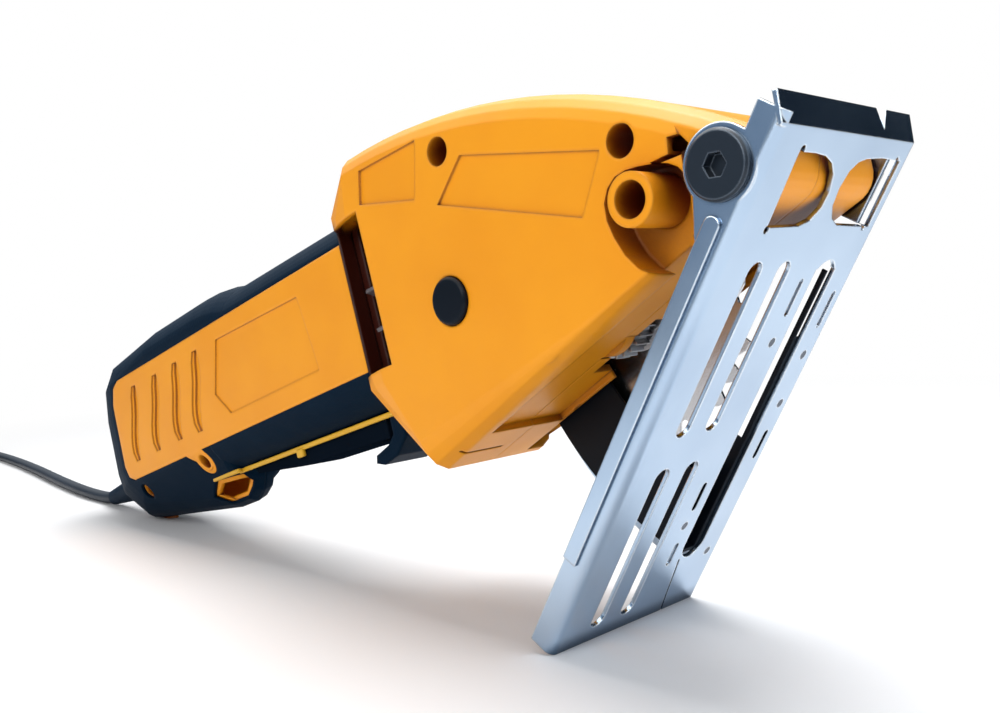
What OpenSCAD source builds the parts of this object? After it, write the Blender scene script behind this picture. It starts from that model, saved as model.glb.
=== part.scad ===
// Mini plunge-cut circular saw with an in-line motor handle, propped on its
// handle's tail and on the rear edge of its base plate. Millimetres, +Z up, +X to the front.
//
// Three frames are used. The base frame has x forward, y across from the near edge and
// z up from the plate's underside. The body frame has its origin on the pivot and is
// level with the base when the saw is fully plunged. The handle frame is the body frame
// turned so that its x axis is the motor's axis, with the tail at negative x.

/* [Base plate] */
// Length of the plate from its rear edge to the front lip
base_l = 174; // [168:1:190]
// Width of the plate
base_w = 76; // [75:1:84]
// Thickness of the pressed steel sheet
sheet_t = 1.5; // [1.2:0.1:2]
// Outside radius of the sheet's bends
bend_r = 3; // [2.5:0.5:4]
// Height of the near flange above the plate's underside
flange_h = 9; // [8:0.5:11]
// Length of the sloping front lip
lip_l = 8.5; // [6:0.5:10]
// Slope of the front lip
lip_angle = 37; // [25:1:45]
// Radius of the near pivot ear
ear_r = 11; // [10:0.5:11.5]
// Width of the long window slots
window_w = 6.8; // [5:0.2:8]
// Width of the blade slot
slot_w = 12; // [12:0.5:13]
// Rear end of the blade slot
slot_x0 = 23.5; // [22:0.5:26]
// Front end of the blade slot
slot_x1 = 133; // [128:1:136]

/* [Pivot and plunge] */
// Distance of the pivot behind the plate's front edge
pivot_back = 16; // [15.5:0.5:16]
// Height of the pivot above the plate's underside
pivot_z = 12; // [12:0.5:13]
// Angle through which the body plunges
plunge = 27; // [24:1:28]
// Radius of the pivot bolt's shank
bolt_r = 5; // [4.5:0.25:5.5]
// Radius of the pivot bolt's head
bolt_head_r = 9.5; // [9:0.25:10.5]

/* [Body] */
// Distance of the near face from the base's near edge
body_y0 = 2.3; // [2.2:0.1:2.8]
// Distance of the far face from the base's near edge
body_y1 = 68.5; // [68:0.1:69]
// Plane where the near and far covers meet
split_y = 34; // [33.5:0.5:35]
// Wall of the covers
wall = 2.5; // [2:0.1:3]
// Radius of the long curve along the top
top_r = 257; // [254:1:260]
// Height of the flat underside below the pivot
belly_z = 8; // [7.5:0.25:8.25]
// Radius of the screw recesses in the near face
recess_r = 4.9; // [4.5:0.1:5.2]
// Bore radius of the dust tube
dust_bore_r = 5.3; // [4.8:0.1:5.6]
// Wall of the dust tube
dust_wall = 2.4; // [2:0.1:2.6]

/* [Handle] */
// Angle between the handle and the plunged base
handle_rise = 17.6; // [17:0.1:18]
// Distance from the pivot to the handle's front end
handle_x0 = 174.3; // [174:0.1:175]
// Distance from the pivot to the end of the tail
tail_x = 436; // [432:1:440]
// Half width of the handle
grip_half = 23; // [22:0.5:24]
// Height of the handle's crown above the pivot, at the front
crown_k = 55; // [53:0.5:57]
// Height of the palm swell above the pivot
swell_k = 60; // [58:0.5:62]
// Depth of the handle's underside below the pivot
grip_floor_k = 27; // [26:0.5:28]
// Thickness of the rubber skin
rubber_t = 1.6; // [1.2:0.1:2]
// Wall of the handle shells, skin included
shell_t = 3.6; // [3.2:0.1:4]
// Half width of the trigger
trigger_half = 10; // [9:0.5:10.5]
// Angle through which the trigger turns
trigger_turn = 4; // [3:0.5:4.5]

/* [Blade and arbor] */
// Radius of the saw blade
blade_r = 42.5; // [40:0.5:43]
// Thickness of the blade's plate
blade_t = 1.2; // [1:0.1:1.6]
// Number of blade teeth
blade_teeth = 24; // [18:2:40]
// Distance of the blade's plane from the base's near edge
blade_y = 59; // [58.8:0.1:59.2]
// Distance of the arbor behind the pivot
arbor_x = 81; // [80:0.5:82]
// Height of the arbor above the pivot, when plunged
arbor_z = 4.5; // [4.5:0.1:5]
// Radius of the blade flanges
flange_r = 11; // [9:0.5:11.5]
// Radius of the arbor
arbor_r = 4; // [3.5:0.25:4.5]

/* [Motor] */
// Height of the motor's axis above the pivot, in the handle frame
motor_k = 13; // [12.5:0.25:13.5]
// Outer radius of the stator
stator_r = 19.5; // [18:0.25:19.75]
// Length of the stator and of the armature
stack_l = 36; // [30:1:40]
// Gap between the stator and the armature
air_gap = 0.5; // [0.3:0.1:0.8]
// Radius of the fan
fan_r = 23.5; // [21:0.5:24]
// Radius of the rotor's shaft
rotor_r = 3; // [2.5:0.25:3.5]

/* [Gears] */
// Tooth module of every gear
gear_m = 1; // [1:0.05:1]
// Teeth of the motor's pinion and of the countershaft's pinion
pinion_z = 12; // [12:1:12]
// Teeth of the crown gear
crown_z = 36; // [36:1:36]
// Teeth of the idler and of the arbor's gear
idler_z = 24; // [24:1:24]
// Width of the spur gears
gear_w = 7; // [5:0.5:7]

/* [Cord] */
// Diameter of the cord
cord_d = 6.8; // [6.8:0.1:6.8]

/* [Clearances] */
// Running clearance of a shaft in its hole, on the radius
run = 0.05; // [0.02:0.01:0.08]
// Clearance of a bearing or bush in its moulded seat, on the radius
seat_gap = 0.02; // [0.01:0.01:0.04]
// Gap between parts that move past each other
gap = 0.4; // [0.3:0.05:0.6]
// Backlash taken off each gear tooth flank
backlash = 0.14; // [0.1:0.01:0.2]

/* [Hidden] */
$fn = 64;

// base plate
pivot_x = base_l - pivot_back;
plate_in_r = bend_r - sheet_t;
ear_bore_r = bolt_r + run;
far_ear_y = base_w - 6;
relief_r = 1.2;
rivet_r = 1.6;
rivets = [[108.7, 46.9], [102.2, 71.4], [83.8, 71.8], [39.6, 46.6], [22.8, 71.1]];
window_ys = [18.6, 33.8];
window_spans = [[79, 136], [6.1, 67.7]];
small_slots = [[123.8, 47.4, 12.5], [118.6, 71.7, 13], [67.6, 72, 11.5],
  [51.3, 47.2, 11.3], [27.5, 47.4, 9.6]];
small_slot_w = 2.3;
slot_y0 = 53;
// outlines of the two windows under the ears, and their corner reliefs, from the pivot
near_hole = [[9.3, 14], [9.5, 22], [9, 28.5], [7.2, 33.5], [4, 37.2], [-1, 39.4], [-6, 39], [-9.5, 36],
  [-11.3, 31], [-11.9, 14.7]];
far_hole = [[9.5, 51.5], [10.3, 60.9], [10, 73], [-11, 73], [-10.7, 52.4], [-8.6, 47.6], [-4.8, 44.6],
  [0.5, 43.8], [5.5, 45], [8.3, 47.8]];
relief_at = [[10, 15.2], [-12.4, 14.9], [10, 70.4], [-11, 69.8]];
notch_x = 4.5;
notch_y = 57;
strip_x = [33, 146];

// guard and bracket
guard_y = [54, 64];
guard_t = 1;
guard_r = [104, pivot_x - slot_x0 - 1];
guard_sweep = [-5, 30];
trough_h = 3;
knob_r_orbit = 140;
knob_lead = 3;
knob_at = [-knob_r_orbit * cos(knob_lead), knob_r_orbit * sin(knob_lead)];
bracket_y = 71.9;
bracket_t = 1.5;
knob_bolt_r = 2.5;

// pivot
bolt_head_t = 2;
nut_t = 4.5;
bolt_y1 = far_ear_y + sheet_t + nut_t;
bush_r = bolt_r + 2;

// body
hull_steps = [[0, 8], [1.7, 4.6], [4.7, 1.8], [9.7, 0]];
nose_low_r = 10;
nose_a = 33.7;
arc_a0 = 31;
arc_a1 = 71.3;
arc_c = [6.75 - top_r * cos(nose_a), 10.2 - top_r * sin(nose_a)];
collar_h = handle_x0 - 0.3;
collar_t = 2;
vent_h0 = 149;
port_at = [-25, 9];
port_r = dust_bore_r + dust_wall;
port_y0 = -4;
port_y1 = 50;
cap_at = [-106.4, 32.4];
cap_r = 8.15;
lock_pin_r = 3;
hole_at = [[-81.5, 75.5], [-21.7, 27.4]];
port_pocket = [[-16, 14.5], [-21.4, 17.8], [-25.1, 19.7], [-29, 20.6], [-33, 19.7], [-36.5, 17],
  [-38.6, 12.5], [-39.4, 7], [-39.2, 0.8], [-37.6, -5.2], [-34.5, -9.6], [-30.3, -12.3],
  [-24, -12], [-17, -8], [-10, 4], [-11, 9], [-13, 12]];
panel_dip = [[-74, 67.5], [-28.8, 30.3], [-45.3, 18.9], [-92.2, 61.6]];
rear_dip = [[-87.8, 86.1], [-100.3, 70.3], [-125.2, 88.2], [-118, 98]];
ramp_dip = [[-5.9, 21.9], [-6.4, 15.9], [-5.6, 12.5], [-8.4, 10.6], [-10, 7], [-2, 9], [5, 13.5], [5, 18],
  [-2, 22.5]];
ramp_notch = [[-6.2, 16.2], [-9.2, 17.7], [-11.5, 13.8], [-17.4, 15.8], [-16.6, 14.2], [-8.2, 10.8], [-5.4, 12.5]];
post_at = [[-120, 10], [-66, 56], [-52, 14]];
post_r = 5;
screw_r = 1.75;
head_r = 3.4;
plate_y = [50, 53];
opening_x = [-150, -20];
opening_y = [50, 65.2];

// drive train, as points of the body frame
function from_handle(h, k) = [k * sin(handle_rise) - h * cos(handle_rise),
  h * sin(handle_rise) + k * cos(handle_rise)];
counter_h = 103;
counter_at = from_handle(counter_h, motor_k);
arbor_at = [-arbor_x, arbor_z];
small_pitch = gear_m * pinion_z / 2;
idler_pitch = gear_m * idler_z / 2;
crown_pitch = gear_m * crown_z / 2;
leg_a = small_pitch + idler_pitch;
leg_b = 2 * idler_pitch;
span = norm(arbor_at - counter_at);
along = (leg_a * leg_a - leg_b * leg_b + span * span) / (2 * span);
off = sqrt(leg_a * leg_a - along * along);
dir = (arbor_at - counter_at) / span;
idler_at = counter_at + along * dir + off * [dir.y, -dir.x];
function facing(p, q) = atan2(p.y - q.y, q.x - p.x);
function mesh_turn(a, za, zb, beta) = beta + 180 - za / zb * (a - beta) + 180 / zb;
idler_turn = mesh_turn(0, pinion_z, idler_z, facing(counter_at, idler_at));
arbor_turn = mesh_turn(idler_turn, idler_z, idler_z, facing(idler_at, arbor_at));
crown_turn = 180 + handle_rise + 180 / crown_z;
crown_y = split_y - small_pitch;
gear_y = 41;
counter_r = 3;
counter_seat_r = 6.5;
arbor_seat_r = 9.5;
lock_orbit = norm(cap_at - counter_at);
lock_turn = facing(counter_at, cap_at);
blade_y0 = blade_y - blade_t / 2;
blade_y1 = blade_y + blade_t / 2;
flange_t = 2;

// motor, as distances behind the pivot along the handle
pinion_h = [118.5, 124.5];
front_bearing = [131, 136];
fan_h = [152, 166];
stator_h = fan_h.y + 24;
comm_h = [stator_h + stack_l + 10, stator_h + stack_l + 22];
rear_bearing = [comm_h.y + 14, comm_h.y + 19];
front_seat_r = 9.5;
rear_seat_r = 8;
comm_r = 8;
armature_r = stator_r - 7.5 - air_gap;
brush_h = (comm_h.x + comm_h.y) / 2;

// handle
grip_steps = [[0, 15, 0.7], [0.6, 12.5, 0.7], [2, 10.2, 0.7], [4, 7.7, 0.65], [6.5, 5.4, 0.6], [9.5, 3.4, 0.45],
  [13, 1.75, 0.3], [17.5, 0.55, 0.15], [grip_half, 0, 0]];
panel = [[170, -10], [170, 41], [386, 41], [393, 38], [397, 30], [397, -4], [394, -10], [388, -12.5]];
louvres = [[367.5, 34, 377.8, -3.8], [342.6, 33.5, 353.6, -3.4], [320, 33.6, 328.9, -3.1],
  [298.8, 33.7, 308.1, -3.6]];
label = [[279, 33], [209.6, 31.3], [205.2, -0.9], [279, -1.7], [289.4, 9.5]];
handle_posts = [[-317, -17, 15.8], [-383, -20, 19.6]];
trigger_pin_at = [288, -21];
trigger_pin_r = 1.5;
heel_x0 = 299;
heel_turn = 8;
heel_hollow = [[302.5, -29.5], [303, -34.5], [309, -37.5], [322, -37.5], [329, -33], [320, -28.8]];
heel_rim = [[300.5, -27.7], [301, -35.5], [308, -39.5], [323, -39.5], [332, -33.5], [321, -27]];
louvre_w = 3;
louvre_bow = 1.4;
scoop_w = 5.4;
scoop_depths = [[1, 0.8], [0.62, 1.8]];
label_depth = 0.7;
boss_r = 6.4;
exit_k = -12;

// place on the stand: the tail's lowest corner and the plate's rear edge share the floor
tail_foot = from_handle(tail_x - 24, -grip_floor_k - 6);
foot_x = pivot_x + tail_foot.x * cos(plunge) + tail_foot.y * sin(plunge);
foot_z = pivot_z - tail_foot.x * sin(plunge) + tail_foot.y * cos(plunge);
stance = atan2(foot_z, -foot_x);
stand_x = 146.46;
stand_y = -40;

module in_base() { translate([stand_x, stand_y, 0]) rotate([0, -stance, 0]) children(); }
module in_body() { in_base() translate([pivot_x, 0, pivot_z]) rotate([0, plunge, 0]) children(); }
module in_handle() { in_body() rotate([0, handle_rise, 0]) children(); }
// local z runs rearward along the motor's axis, local x is k and local y is y
module on_motor() { in_handle() translate([0, split_y, motor_k]) rotate([0, -90, 0]) children(); }
// local z runs along y from a point of the x-z plane
module across(p, y = 0) { translate([p.x, y, p.y]) rotate([-90, 0, 0]) children(); }
module post(p, r, y0, y1) { across(p, y0) cylinder(h = y1 - y0, r = r); }
module ring(p, r0, r1, y0, y1) {
  difference() {
    post(p, r1, y0, y1);
    post(p, r0, y0 - 1, y1 + 1);
  }
}
// an outline in x and z, from y0 to y1
module side(y0, y1) { translate([0, y1, 0]) rotate([90, 0, 0]) linear_extrude(y1 - y0) children(); }
// an outline of (h, k) points, in the handle frame
module h_side(y0, y1, pts) { side(y0, y1) polygon([for (p = pts) [-p.x, p.y]]); }
module h_box(h0, h1, y0, y1, k0, k1) { translate([-h1, y0, k0]) cube([h1 - h0, y1 - y0, k1 - k0]); }
module along_x(x0, x1) { translate([x0, 0, 0]) rotate([90, 0, 90]) linear_extrude(x1 - x0) children(); }
module slot_2d(p, q, w) {
  for (e = [p, q]) translate(e) circle(w / 2, $fn = 32);
  translate(p) rotate(atan2(q.y - p.y, q.x - p.x)) translate([0, -w / 2]) square([norm(q - p), w]);
}

function arc_pts(r, a0, a1, n, c = [0, 0]) =
  [for (i = [0:n]) let (a = a0 + (a1 - a0) * i / n) c + r * [cos(a), sin(a)]];

// gears
pressure = 20;
function inv(r, rb) = let (a = acos(min(1, rb / r))) tan(a) * 180 / PI - a;
function flank(z, r) = let (rp = gear_m * z / 2, rb = rp * cos(pressure))
  90 / z + inv(rp, rb) - inv(max(r, rb), rb) - backlash / rp * 180 / PI;
function gear_pts(z) = let (rp = gear_m * z / 2, lo = rp - 1.25 * gear_m, hi = rp + gear_m,
  rs = [lo, max(lo + 0.05, rp * cos(pressure)), rp - 0.1, rp + gear_m / 2, hi])
  [for (i = [0:z - 1]) each concat(
    [for (r = rs) r * [cos(360 * i / z - flank(z, r)), sin(360 * i / z - flank(z, r))]],
    [for (j = [4:-1:0]) rs[j] * [cos(360 * i / z + flank(z, rs[j])), sin(360 * i / z + flank(z, rs[j]))]])];
module gear(z, bore, w) {
  difference() {
    linear_extrude(w) polygon(gear_pts(z));
    translate([0, 0, -1]) cylinder(h = w + 2, r = bore);
  }
}

// a tube swept along points, with a frame carried from ring to ring
function unit(v) = v / norm(v);
function tangents(p) = [for (i = [0:len(p) - 1]) unit(p[min(i + 1, len(p) - 1)] - p[max(i - 1, 0)])];
function carry(t, u, i = 0) = let (w = unit(u - (u * t[i]) * t[i]))
  i == len(t) - 1 ? [w] : concat([w], carry(t, w, i + 1));
module tube(p, radii, sides, up = [0, 0, 1]) {
  t = tangents(p);
  u = carry(t, up);
  n = len(p);
  pts = [for (i = [0:n - 1]) let (v = cross(t[i], u[i])) for (j = [0:sides - 1])
    p[i] + radii[i] * (cos(360 * j / sides) * u[i] + sin(360 * j / sides) * v)];
  faces = concat(
    [for (i = [0:n - 2]) for (j = [0:sides - 1]) let (k = (j + 1) % sides)
      [i * sides + j, (i + 1) * sides + j, (i + 1) * sides + k, i * sides + k]],
    [[for (j = [0:sides - 1]) j]], [[for (j = [sides - 1:-1:0]) (n - 1) * sides + j]]);
  polyhedron(pts, faces, convexity = 6);
}
// a coil spring along local z
module spring(r, wire, len, turns, per_turn = 10) {
  n = turns * per_turn;
  tube([for (i = [0:n]) [r * cos(360 * i / per_turn), r * sin(360 * i / per_turn),
    wire + (len - 2 * wire) * i / n]], [for (i = [0:n]) wire], 6);
}

// ---- base
module zinc() { color([0.78, 0.81, 0.85]) children(); }
module steel() { color([0.62, 0.63, 0.65]) children(); }
module yellow() { color([0.96, 0.62, 0.08]) children(); }
module rubber() { color([0.08, 0.09, 0.13]) children(); }
module dark() { color([0.14, 0.14, 0.16]) children(); }
module grey() { color([0.55, 0.56, 0.58]) children(); }
module copper() { color([0.72, 0.4, 0.2]) children(); }

module bend_section(y, z) {
  difference() {
    translate([y, z]) circle(bend_r);
    translate([y, z]) circle(plate_in_r);
    translate([y, z - 2 * bend_r]) square(4 * bend_r);
    translate([y - 2 * bend_r, z]) square(4 * bend_r);
  }
}
module near_ear() {
  side(0, sheet_t) {
    translate([pivot_x, pivot_z]) circle(ear_r);
    translate([pivot_x, 0])
      polygon([[-22, bend_r], [-22, flange_h], [-9, pivot_z + 4.5], [11, pivot_z], [11, bend_r]]);
  }
}
module far_ear() {
  side(far_ear_y, far_ear_y + sheet_t) {
    translate([pivot_x, pivot_z]) circle(ear_r + 0.3);
    translate([pivot_x, 0]) polygon([[-11, bend_r], [-11.2, pivot_z], [11.2, pivot_z], [10, bend_r]]);
  }
  along_x(pivot_x - 11, pivot_x + 10) bend_section(far_ear_y + bend_r, bend_r);
}
module lip() {
  out = [cos(lip_angle), sin(lip_angle)];
  up = [-sin(lip_angle), cos(lip_angle)];
  root = [base_l, 0];
  side(0, base_w) polygon([root, root + lip_l * out, root + lip_l * out + sheet_t * up,
    root + sheet_t * up + [0.5, 0], [base_l - 1, sheet_t], [base_l - 1, 0]]);
}
module plate_holes() {
  for (s = window_spans) for (y = window_ys)
    slot_2d([s.x + window_w / 2, y], [s.y - window_w / 2, y], window_w);
  for (s = small_slots)
    slot_2d([s.x - s.z / 2 + 1.2, s.y], [s.x + s.z / 2 - 1.2, s.y], small_slot_w);
  slot_2d([slot_x0 + slot_w / 2, slot_y0 + slot_w / 2], [slot_x1 - 3, slot_y0 + slot_w / 2], slot_w);
  translate([slot_x1 - 12, slot_y0]) square([12, slot_w]);
  translate([pivot_x, 0]) {
    polygon(near_hole);
    polygon(far_hole);
    for (p = relief_at) translate(p) circle(relief_r);
  }
  for (p = rivets) translate(p) circle(rivet_r);
  translate([-1, 57.5]) rotate(-9.5) square([25, 0.8]);
}
module base_plate() {
  zinc() in_base() difference() {
    union() {
      linear_extrude(sheet_t) translate([0, bend_r]) square([base_l, base_w - bend_r]);
      along_x(0, base_l + 3) bend_section(bend_r, bend_r);
      along_x(0, base_l + 3) translate([0, bend_r]) square([sheet_t, flange_h - bend_r]);
      near_ear();
      far_ear();
      lip();
    }
    translate([0, 0, -1]) linear_extrude(sheet_t + 2) plate_holes();
    post([pivot_x, pivot_z], ear_bore_r, -1, base_w);
    translate([0, 0, -1]) linear_extrude(lip_l + 2)
      polygon([[base_l + 2, notch_y], [base_l + 12, notch_y - notch_x - 2], [base_l + 12, notch_y + notch_x + 2]]);
  }
}
module edge_strip() {
  zinc() in_base() side(-1, 0) {
    translate([strip_x.x, 4.2]) square([strip_x.y - strip_x.x - 2.5, 5]);
    translate([strip_x.y - 2.5, 6.7]) circle(2.5);
  }
}
function sector(r0, r1, a0, a1) = concat(
  [for (p = arc_pts(r1, 180 - a0, 180 - a1, 16)) p + [pivot_x, pivot_z]],
  [for (p = arc_pts(r0, 180 - a1, 180 - a0, 12)) p + [pivot_x, pivot_z]]);
module blade_guard() {
  low = sheet_t;
  rubber() in_base() {
    difference() {
      side(guard_y.x, guard_y.y) {
        polygon(sector(guard_r.x, guard_r.y, guard_sweep.x + 0.6, guard_sweep.y));
        translate([slot_x0 + 1, low]) square([slot_x1 - slot_x0 - 2.5, trough_h - low]);
        translate([slot_x0 + 2, low]) square([44, 4]);
      }
      side(guard_y.x + guard_t, guard_y.y - guard_t) {
        polygon(sector(guard_r.x - 4, guard_r.y - guard_t, guard_sweep.x - 4, guard_sweep.y + 1));
        translate([slot_x0 + 2.4, 0]) square([slot_x1 - slot_x0, 7]);
      }
    }
    difference() {
      translate([0, 0, low]) linear_extrude(guard_t) {
        translate([30, 44]) square([82, guard_y.x - 43.5]);
        translate([17, guard_y.y - 0.5]) square([91, 10.3]);
      }
      for (p = rivets) translate([p.x, p.y, 0]) cylinder(h = 9, r = rivet_r);
    }
  }
}
module guard_rivets() {
  steel() in_base() for (p = rivets) translate([p.x, p.y, 0]) {
    cylinder(h = sheet_t + guard_t, r = rivet_r);
    translate([0, 0, sheet_t + guard_t]) cylinder(h = 0.9, r1 = 2.6, r2 = 1.9);
  }
}
module pivot_bolt() {
  dark() in_base() difference() {
    union() {
      across([pivot_x, pivot_z], -bolt_head_t) cylinder(h = 0.8, r1 = bolt_head_r - 0.8, r2 = bolt_head_r);
      post([pivot_x, pivot_z], bolt_head_r, 0.8 - bolt_head_t, 0);
      post([pivot_x, pivot_z], bolt_r, 0, bolt_y1);
    }
    across([pivot_x, pivot_z], -bolt_head_t - 1) cylinder(h = 4.2, r = bolt_r * 0.7, $fn = 6);
  }
}
module pivot_nut() {
  steel() in_base() difference() {
    across([pivot_x, pivot_z], far_ear_y + sheet_t) cylinder(h = nut_t, r = 9, $fn = 6);
    post([pivot_x, pivot_z], bolt_r, far_ear_y, base_w + 2);
  }
}
module depth_bracket() {
  zinc() in_base() difference() {
    union() {
      side(bracket_y, bracket_y + bracket_t) {
        polygon(sector(132, 148, -1, 34));
        polygon([[2, sheet_t], [15.5, sheet_t], [27, 10], [26, 16], [9, 16]]);
      }
      translate([2, 66, sheet_t]) cube([13.5, bracket_y + bracket_t - 66, bracket_t]);
    }
    side(bracket_y - 1, bracket_y + bracket_t + 1)
      polygon(sector(knob_r_orbit - knob_bolt_r - 0.2, knob_r_orbit + knob_bolt_r + 0.2, 0.5, 32.5));
  }
}

// ---- body
function tidy(p) = [round(p.x * 50) / 50, round(p.y * 50) / 50];
function body_pts(i, w) = let (t = i / 8) [for (p = concat(
  arc_pts(nose_low_r - i / 10 - w, -140, -30, 8),
  arc_pts(top_r - i - w, arc_a0, arc_a1, 16, arc_c),
  [from_handle(collar_h - 2.25 * i - w, 52 - i - w),
  from_handle(collar_h - 2.25 * i - w, -18),
  [-153 + 3 * t + w, -belly_z + 11 * t + w],
  [-48, -belly_z + t / 2 + w]])) tidy(p)];
inner_shift = [1, 0.8, 0.5, 0.2];
module body_hull(w = 0) {
  hull() for (j = [0:3]) let (s = hull_steps[j], d = s[0] + w * inner_shift[j]) {
    side(body_y0 + d, body_y0 + d + 0.01) polygon(body_pts(s[1], w));
    side(body_y1 - d - 0.01, body_y1 - d) polygon(body_pts(s[1], w));
  }
}
module half(near) {
  translate([-500, near ? -200 : split_y, -300]) cube([1000, near ? 200 + split_y : 200, 600]);
}
module scaled_about(c, f) { translate(c) scale(f) translate(-c) children(); }
module body_shell(near) {
  intersection() {
    difference() {
      body_hull();
      body_hull(wall);
    }
    half(near);
  }
}
module motor_bore(r, h0, h1) {
  rotate([0, handle_rise, 0]) translate([-h1, split_y, motor_k]) rotate([0, 90, 0])
    cylinder(h = h1 - h0, r = r);
}
module tongue_box(m, h0, h1) { h_box(h0, h1, 17 - m, 51 + m, -18 - m, 46 + m); }
module belly_cut() {
  side(opening_y.x, plate_y.y + 0.5) polygon([[opening_x.x, -20], [opening_x.x, -5],
    [opening_x.y, -5], [opening_x.y, -20]]);
  side(plate_y.y, opening_y.y) polygon([[opening_x.x, -20], [opening_x.x, 4],
    [opening_x.y, 4], [opening_x.y, -20]]);
  side(39.7, opening_y.x + 1) polygon([[-97, -20], [-97, recess_top], [-65, recess_top], [-65, -20]]);
}
// the shallow recess in the underside, with a step in it, and the floor that backs it
recess_x = [-127, -26];
recess_depth = 2;
recess_top = -belly_z + recess_depth + wall;
module floor_block(y0, y1) {
  intersection() {
    side(y0, y1) polygon([[recess_x.x - 3, -belly_z + wall - 0.5], [recess_x.x - 3, recess_top],
      [recess_x.y + wall, recess_top], [recess_x.y + wall, -20], [recess_x.y, -20],
      [recess_x.y, -belly_z + wall - 0.5]]);
    body_hull();
  }
}
module belly_recess(y0, y1) {
  side(y0, y1) polygon([[recess_x.x, -20], [recess_x.x, -belly_z + recess_depth],
    [recess_x.y, -belly_z + recess_depth], [recess_x.y, -20]]);
}
module near_cover() {
  yellow() in_body() difference() {
    union() {
      body_shell(true);
      post(counter_at, counter_seat_r + 2, 4, 11.5);
      post(cap_at, cap_r + 2, 4, 17.5);
      post(arbor_at, arbor_seat_r + 2.5, 4, 39.5);
      for (p = post_at) post(p, post_r, 4, plate_y.x);
      for (p = hole_at) post(p, recess_r + 2, 4, split_y);
      post([0, 0], bush_r + 2, 3, 12);
      floor_block(11, split_y);
      rotate([0, handle_rise, 0]) h_box(130, 138, 4, split_y, -1, 27);
      intersection() {
        side(4, 15.3) scaled_about([-27, 2], 1.2) polygon(port_pocket);
        side(4, 15.3) polygon(body_pts(1, 0.5));
      }
    }
    motor_bore(front_seat_r + seat_gap, 129, 139);
    post(counter_at, counter_seat_r + seat_gap, 6, 12);
    post(cap_at, cap_r + 0.25, 0, 15.5);
    post(cap_at, lock_pin_r + run, 10, 20);
    post(arbor_at, arbor_seat_r + seat_gap, split_y, 41);
    for (p = post_at) post(p, 1.5, 30, 60);
    for (p = hole_at) {
      post(p, recess_r, 0, 20);
      post(p, screw_r + 0.2, 10, 40);
    }
    post([0, 0], bush_r + seat_gap, 0, 40);
    post(port_at, port_r + seat_gap, 0, 40);
    side(0, 13.3) polygon(port_pocket);
    side(0, body_y0 + 1) polygon(panel_dip);
    side(0, body_y0 + 1) polygon(rear_dip);
    side(0, body_y0 + 1.4) polygon(ramp_dip);
    side(0, 9) polygon(ramp_notch);
    belly_recess(13, split_y + 1);
    translate([-141.5, 9, -belly_z - 1]) cube([1.2, 20, 2.2]);
    rotate([0, handle_rise, 0]) {
      h_box(vent_h0, collar_h - collar_t, -2, 20, -13, 45);
      tongue_box(0.2, 165, 180);
    }
  }
}
module far_cover() {
  yellow() in_body() difference() {
    union() {
      body_shell(false);
      for (p = hole_at) post(p, recess_r + 1.2, split_y + gap, body_y1 - 1);
      post([0, 0], bush_r + 2, 60, body_y1 - 0.5);
      floor_block(split_y, 49.8);
      post(knob_at, 5, body_y1 - 4, bracket_y - 0.4);
    }
    for (p = hole_at) post(p, screw_r, split_y - 1, 52);
    post([0, 0], bush_r + seat_gap, 30, 80);
    belly_recess(split_y - 1, 49);
    post(arbor_at, 9, 60, 80);
    post(arbor_at, arbor_seat_r + 2.8, 30, 39.8);
    post(knob_at, knob_bolt_r + run, 60, 80);
    for (i = [0, 3]) translate([rivets[i].x - pivot_x, rivets[i].y, -pivot_z]) cylinder(h = 4, r = 3.2);
    belly_cut();
    rotate([0, handle_rise, 0]) {
      for (k = [-12:8:40]) h_box(156, collar_h - collar_t, 56, 80, k, k + 4);
      tongue_box(0.2, 165, 180);
    }
  }
}
plate_pts = [[-126, 3], [-126, 20], [-133.5, 40], [-125, 68.5], [-112, 66], [-98, 60], [-72, 63],
  [-60, 62], [-59, 50], [-74, 38], [-68, 21], [-52, 21], [-45, 14], [-52, 7], [-68, 2],
  [-70, -4.6], [-92, -4.6], [-96, 3]];
module bearing_plate() {
  color([0.7, 0.71, 0.73]) in_body() difference() {
    union() {
      side(plate_y.x, plate_y.y) polygon(plate_pts);
      post(arbor_at, arbor_seat_r + 2, plate_y.x, 55);
      post(counter_at, counter_seat_r + 2, 48.8, plate_y.y);
      rotate([0, handle_rise, 0]) h_box(130, 138, split_y + 0.1, plate_y.y, -1, 27);
      post(idler_at, 5, 48.5, plate_y.y);
    }
    motor_bore(front_seat_r, 129, 139);
    post(arbor_at, arbor_seat_r, 48, 56);
    post(counter_at, counter_seat_r, 48, 52.4);
    post(counter_at, 4, 48, 55);
    post(idler_at, 3, 47, 55);
    for (p = post_at) post(p, 2, 48, 55);
    post(hole_at[1], 8, 48, 55);
  }
}
module screw(p, y, len, r, hr, hh) {
  difference() {
    union() {
      post(p, r, y, y + len);
      post(p, hr, y - hh, y);
    }
    across(p, y - hh - 1) cylinder(h = hh * 0.6 + 1, r = hr * 0.5, $fn = 6);
  }
}
module cover_screws() { steel() in_body() for (p = hole_at) screw(p, 20, 30, screw_r, head_r, 3); }
module plate_screws() {
  steel() in_body() for (p = post_at) mirror([0, 1, 0]) translate([0, -2 * plate_y.y, 0])
    screw(p, plate_y.y, 14, 1.5, 3, 0.9);
}
module nose_bush() {
  steel() in_body() difference() {
    union() {
      post([0, 0], bush_r, 2, 17);
      post([0, 0], bush_r - 1.2, 16, 34);
      post([0, 0], bush_r, 33, 69.6);
    }
    post([0, 0], bolt_r + run, 0, 80);
  }
}
module plunge_spring() {
  steel() in_body() across([0, 0], 18) spring(6.6, 0.6, 14, 9, 16);
}
module dust_tube() { yellow() in_body() ring(port_at, dust_bore_r, port_r, port_y0, port_y1); }

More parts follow.
